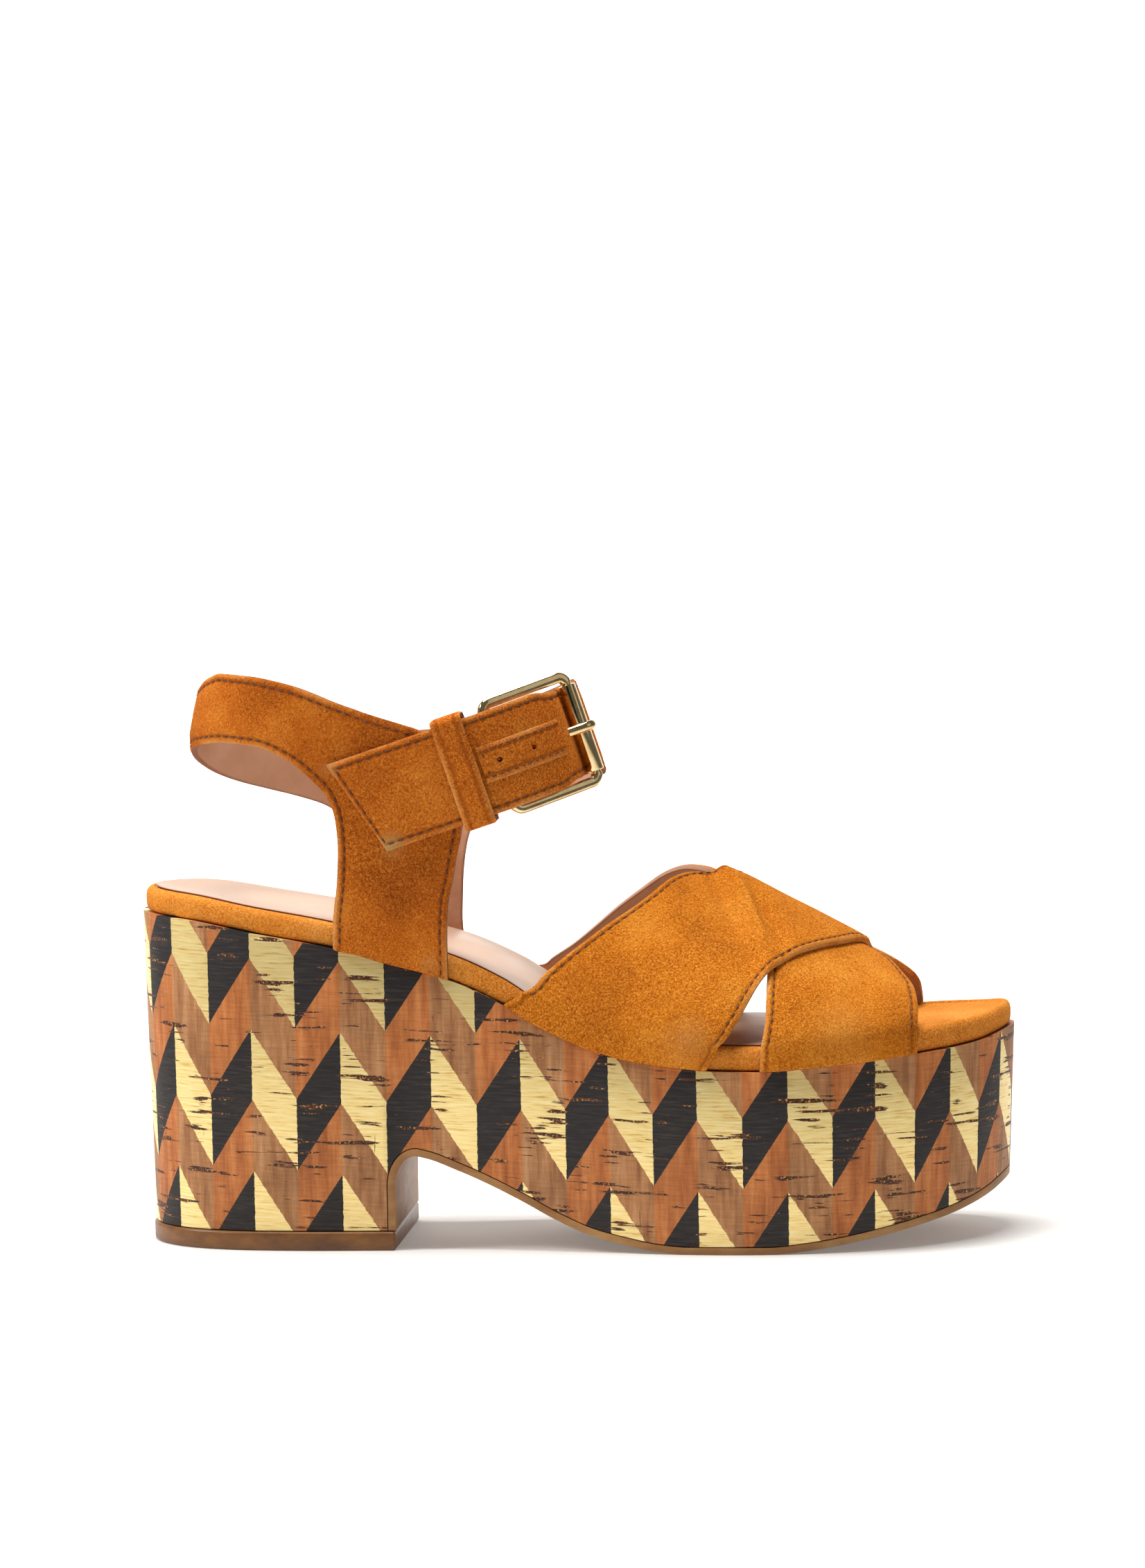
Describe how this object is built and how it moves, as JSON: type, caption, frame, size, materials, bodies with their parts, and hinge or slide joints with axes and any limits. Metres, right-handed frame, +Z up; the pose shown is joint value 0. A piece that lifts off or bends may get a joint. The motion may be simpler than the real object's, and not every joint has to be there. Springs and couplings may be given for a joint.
{
  "type": "platform block-heel sandal",
  "caption": "Women's platform sandal with a block heel in printed cork, crossed suede vamp straps and an ankle strap with a roller buckle.",
  "frame": {"origin": "on the ground, under the middle of the sandal's bounding box", "axes": "+X from the heel to the toe, +Y to the inner (medial) side, +Z up; the buckle is on -Y"},
  "size_m": [0.2434, 0.0908, 0.1601],
  "materials": {
    "printed_cork": "cork skin printed in black, gold, tan and orange brown",
    "outsole_rubber": "matt tan rubber",
    "lift_rubber": "brown rubber, slightly glossy",
    "rand_suede": "suede wrap",
    "sock_leather": "smooth beige leather",
    "suede": "ochre suede",
    "gold": "polished pale gold plating"
  },
  "bodies": {
    "root": {"cork_platform": "printed_cork", "outsole": "outsole_rubber", "heel_top_lift": "lift_rubber", "insole": "rand_suede", "sock_liner": "sock_leather", "vamp_straps": "suede", "quarter_strap": "suede", "ankle_strap": "suede", "keeper_loop": "suede", "buckle_frame": "gold", "buckle_roller": "gold", "buckle_prong": "gold"}
  },
  "joints": []
}
